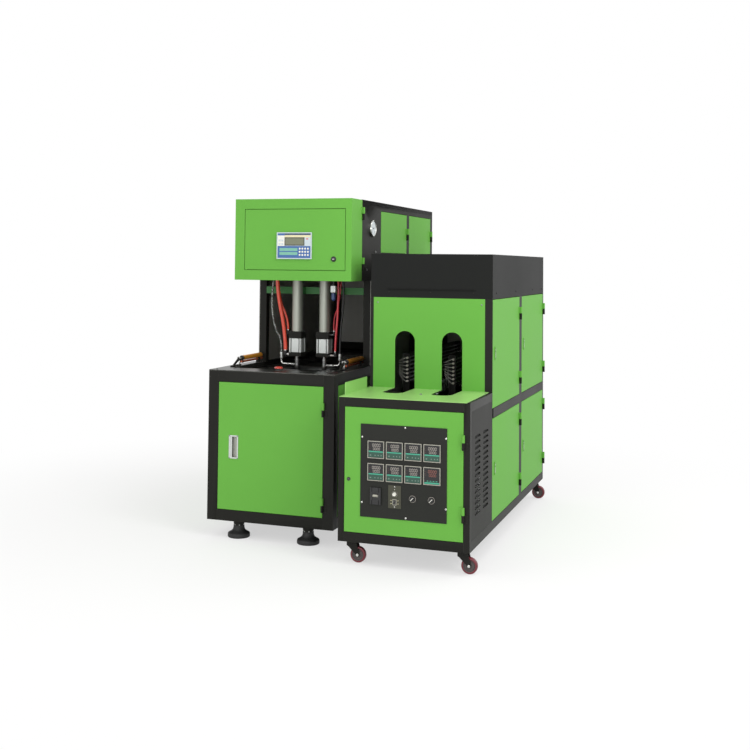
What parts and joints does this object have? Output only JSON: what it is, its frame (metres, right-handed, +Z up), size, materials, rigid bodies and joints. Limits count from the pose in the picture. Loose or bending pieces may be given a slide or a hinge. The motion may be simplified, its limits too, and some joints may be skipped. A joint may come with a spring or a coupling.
{
  "type": "blow moulding machine",
  "caption": "Two-cabinet bottle blow moulding machine: a tower with stretch cylinders over a mould table, and a preform heater with arched oven openings.",
  "frame": {"origin": "middle of the machine's footprint, on the floor", "axes": "+Z up, front faces -Y, +X from the blowing tower towards the heater"},
  "size_m": [1.4555, 2.0664, 1.743],
  "materials": {
    "black_frame": "semi-gloss powder coat",
    "green_paint": "satin powder coat",
    "black_table": "glossy black sheet",
    "foot_rubber": "matt black",
    "aluminium_tube": "satin anodised",
    "chrome": "bright plated",
    "red_hose": "satin polyurethane",
    "grey_hose": "satin",
    "gauge_face": "white dial in a dark case",
    "gold_barrel": "satin gold",
    "black_plastic": "satin",
    "red_plastic": "gloss",
    "mould_steel": "machined",
    "grey_panel": "satin dark grey",
    "motor_grey": "painted casting",
    "lamp_ceramic": "white ceramic",
    "black_fork": "black plated",
    "wheel_rubber": "dark red rubber"
  },
  "bodies": {
    "machine": {"base_frame": "black_frame", "base_panels": "green_paint", "table_plate": "black_table", "levelling_feet": "foot_rubber", "tower_frame": "black_frame", "tower_panels": "black_frame", "cylinder_beam": "green_paint", "stretch_cylinders": "aluminium_tube", "seal_cylinders": "aluminium_tube", "red_hoses": "red_hose", "air_line": "grey_hose", "pressure_gauge": "gauge_face", "side_cylinders": "gold_barrel", "clamp_frame": "black_frame", "heater_frame": "black_frame", "heater_panels": "black_frame", "shelf": "green_paint", "arched_panel": "green_paint", "top_cover": "black_frame", "spindle_chain": "mould_steel", "drive_motor": "motor_grey", "lamp_banks": "lamp_ceramic"},
    "base_door": {"base_door": "green_paint", "door_handle": "black_plastic"},
    "head": {"head_box": "green_paint"},
    "head_door": {"head_door": "green_paint", "operator_panel": "black_plastic"},
    "head_lock": {"head_lock": "chrome"},
    "heater_door": {"heater_door": "green_paint", "control_panel": "grey_panel"},
    "tower_door_front": {"tower_door_front": "green_paint"},
    "tower_door_rear": {"tower_door_rear": "green_paint"},
    "start_button": {"start_button": "red_plastic"},
    "stretch_rod_left": {"stretch_rod_left": "chrome"},
    "stretch_rod_right": {"stretch_rod_right": "chrome"},
    "seal_nozzle_left": {"seal_nozzle_left": "chrome"},
    "seal_nozzle_right": {"seal_nozzle_right": "chrome"},
    "side_carriage_left": {"side_carriage_left": "chrome"},
    "side_carriage_right": {"side_carriage_right": "chrome"},
    "clamp_half_front": {"clamp_half_front": "mould_steel"},
    "clamp_half_rear": {"clamp_half_rear": "mould_steel"},
    "breaker_lever": {"breaker_lever": "black_plastic"},
    "speed_knob": {"speed_knob": "black_plastic"},
    "rocker_switch": {"rocker_switch": "black_plastic"},
    "selector_left": {"selector_left": "black_plastic"},
    "selector_right": {"selector_right": "black_plastic"},
    "side_door_upper_front": {"side_door_upper_front": "green_paint"},
    "side_door_upper_rear": {"side_door_upper_rear": "green_paint"},
    "side_door_lower_front": {"side_door_lower_front": "green_paint"},
    "side_door_lower_rear": {"side_door_lower_rear": "green_paint"},
    "front_sprocket": {"front_sprocket": "mould_steel"},
    "rear_sprocket": {"rear_sprocket": "mould_steel"},
    "caster_fork_front_left": {"caster_fork_front_left": "black_fork"},
    "caster_wheel_front_left": {"caster_wheel_front_left": "wheel_rubber"},
    "caster_fork_front_right": {"caster_fork_front_right": "black_fork"},
    "caster_wheel_front_right": {"caster_wheel_front_right": "wheel_rubber"},
    "caster_fork_rear_left": {"caster_fork_rear_left": "black_fork"},
    "caster_wheel_rear_left": {"caster_wheel_rear_left": "wheel_rubber"},
    "caster_fork_rear_right": {"caster_fork_rear_right": "black_fork"},
    "caster_wheel_rear_right": {"caster_wheel_rear_right": "wheel_rubber"}
  },
  "joints": [
    {"name": "base_door_hinge", "type": "hinge", "parent": "machine", "child": "base_door", "pos_m": [-0.09625, -0.77427, 0.4235], "axis": [0, 0, 1], "range_deg": [0, 110]},
    {"name": "head_hinge", "type": "hinge", "parent": "machine", "child": "head", "pos_m": [-0.03225, -0.36477, 1.5], "axis": [0, 0, 1], "range_deg": [0, 40]},
    {"name": "head_door_hinge", "type": "hinge", "parent": "head", "child": "head_door", "pos_m": [-0.63775, -0.52677, 1.5], "axis": [0, 0, -1], "range_deg": [0, 110]},
    {"name": "head_lock_turn", "type": "hinge", "parent": "head_door", "child": "head_lock", "pos_m": [-0.13775, -0.53277, 1.424], "axis": [0, 1, 0], "range_deg": [0, 90]},
    {"name": "tower_door_front_hinge", "type": "hinge", "parent": "machine", "child": "tower_door_front", "pos_m": [-0.03225, 0.45796, 1.568], "axis": [0, 0, 1], "range_deg": [0, 100]},
    {"name": "tower_door_rear_hinge", "type": "hinge", "parent": "machine", "child": "tower_door_rear", "pos_m": [-0.03225, 0.98773, 1.568], "axis": [0, 0, 1], "range_deg": [0, 100]},
    {"name": "start_button_press", "type": "slide", "parent": "machine", "child": "start_button", "axis": [0, 0, -1], "range_m": [0, 0.0035], "stiffness_N_per_m": 400, "springref_m": -0.002},
    {"name": "stretch_left_slide", "type": "slide", "parent": "machine", "child": "stretch_rod_left", "axis": [0, 0, -1], "range_m": [0, 0.26]},
    {"name": "stretch_right_slide", "type": "slide", "parent": "machine", "child": "stretch_rod_right", "axis": [0, 0, -1], "range_m": [0, 0.26]},
    {"name": "seal_left_slide", "type": "slide", "parent": "machine", "child": "seal_nozzle_left", "axis": [0, 0, -1], "range_m": [0, 0.02]},
    {"name": "seal_right_slide", "type": "slide", "parent": "machine", "child": "seal_nozzle_right", "axis": [0, 0, -1], "range_m": [0, 0.02]},
    {"name": "side_left_slide", "type": "slide", "parent": "machine", "child": "side_carriage_left", "axis": [0, -1, 0], "range_m": [0, 0.11]},
    {"name": "side_right_slide", "type": "slide", "parent": "machine", "child": "side_carriage_right", "axis": [0, -1, 0], "range_m": [0, 0.11]},
    {"name": "clamp_rear_slide", "type": "slide", "parent": "machine", "child": "clamp_half_rear", "axis": [0, -1, 0], "range_m": [0, 0.07]},
    {"name": "clamp_front_slide", "type": "slide", "parent": "machine", "child": "clamp_half_front", "axis": [0, 1, 0], "range_m": [0, 0.07]},
    {"name": "heater_door_hinge", "type": "hinge", "parent": "machine", "child": "heater_door", "pos_m": [0.67575, -1.02027, 0.44], "axis": [0, 0, 1], "range_deg": [0, 110]},
    {"name": "breaker_tilt", "type": "hinge", "parent": "heater_door", "child": "breaker_lever", "pos_m": [0.26175, -1.01677, 0.33], "axis": [1, 0, 0], "range_deg": [0, 36]},
    {"name": "speed_knob_turn", "type": "hinge", "parent": "heater_door", "child": "speed_knob", "pos_m": [0.35325, -1.01577, 0.3451], "axis": [0, 1, 0], "range_deg": [0, 270]},
    {"name": "rocker_tilt", "type": "hinge", "parent": "heater_door", "child": "rocker_switch", "pos_m": [0.35325, -1.01577, 0.30835], "axis": [1, 0, 0], "range_deg": [0, 18]},
    {"name": "selector_left_turn", "type": "hinge", "parent": "heater_door", "child": "selector_left", "pos_m": [0.43825, -1.01577, 0.329], "axis": [0, -1, 0], "range_deg": [0, 90]},
    {"name": "selector_right_turn", "type": "hinge", "parent": "heater_door", "child": "selector_right", "pos_m": [0.52775, -1.01577, 0.329], "axis": [0, -1, 0], "range_deg": [0, 90]},
    {"name": "side_door_upper_front_hinge", "type": "hinge", "parent": "machine", "child": "side_door_upper_front", "pos_m": [0.71275, 0.13673, 0.965], "axis": [0, 0, 1], "range_deg": [0, 110]},
    {"name": "side_door_upper_rear_hinge", "type": "hinge", "parent": "machine", "child": "side_door_upper_rear", "pos_m": [0.71275, 0.87173, 0.965], "axis": [0, 0, 1], "range_deg": [0, 110]},
    {"name": "side_door_lower_front_hinge", "type": "hinge", "parent": "machine", "child": "side_door_lower_front", "pos_m": [0.71275, 0.13673, 0.4], "axis": [0, 0, 1], "range_deg": [0, 110]},
    {"name": "side_door_lower_rear_hinge", "type": "hinge", "parent": "machine", "child": "side_door_lower_rear", "pos_m": [0.71275, 0.87173, 0.4], "axis": [0, 0, 1], "range_deg": [0, 110]},
    {"name": "front_sprocket_spin", "type": "hinge", "parent": "machine", "child": "front_sprocket", "pos_m": [0.41225, -0.70177, 0.68], "axis": [0, 0, 1], "continuous": true},
    {"name": "rear_sprocket_spin", "type": "hinge", "parent": "machine", "child": "rear_sprocket", "pos_m": [0.41225, 0.53583, 0.68], "axis": [0, 0, 1], "continuous": true},
    {"name": "caster_swivel_front_left", "type": "hinge", "parent": "machine", "child": "caster_fork_front_left", "pos_m": [0.12325, -0.94677, 0.09], "axis": [0, 0, 1], "continuous": true},
    {"name": "caster_roll_front_left", "type": "hinge", "parent": "caster_fork_front_left", "child": "caster_wheel_front_left", "pos_m": [0.15625, -0.94677, 0.0375], "axis": [0, 1, 0], "continuous": true},
    {"name": "caster_swivel_front_right", "type": "hinge", "parent": "machine", "child": "caster_fork_front_right", "pos_m": [0.65725, -0.94677, 0.09], "axis": [0, 0, 1], "continuous": true},
    {"name": "caster_roll_front_right", "type": "hinge", "parent": "caster_fork_front_right", "child": "caster_wheel_front_right", "pos_m": [0.69025, -0.94677, 0.0375], "axis": [0, 1, 0], "continuous": true},
    {"name": "caster_swivel_rear_left", "type": "hinge", "parent": "machine", "child": "caster_fork_rear_left", "pos_m": [0.12325, 0.83023, 0.09], "axis": [0, 0, 1], "continuous": true},
    {"name": "caster_roll_rear_left", "type": "hinge", "parent": "caster_fork_rear_left", "child": "caster_wheel_rear_left", "pos_m": [0.15625, 0.83023, 0.0375], "axis": [0, 1, 0], "continuous": true},
    {"name": "caster_swivel_rear_right", "type": "hinge", "parent": "machine", "child": "caster_fork_rear_right", "pos_m": [0.65725, 0.83023, 0.09], "axis": [0, 0, 1], "continuous": true},
    {"name": "caster_roll_rear_right", "type": "hinge", "parent": "caster_fork_rear_right", "child": "caster_wheel_rear_right", "pos_m": [0.69025, 0.83023, 0.0375], "axis": [0, 1, 0], "continuous": true}
  ],
  "couplings": [
    {"joint": "stretch_right_slide", "follows": "stretch_left_slide", "ratio": 1},
    {"joint": "seal_right_slide", "follows": "seal_left_slide", "ratio": 1},
    {"joint": "side_right_slide", "follows": "side_left_slide", "ratio": 1},
    {"joint": "clamp_front_slide", "follows": "clamp_rear_slide", "ratio": 1},
    {"joint": "rear_sprocket_spin", "follows": "front_sprocket_spin", "ratio": 1}
  ]
}
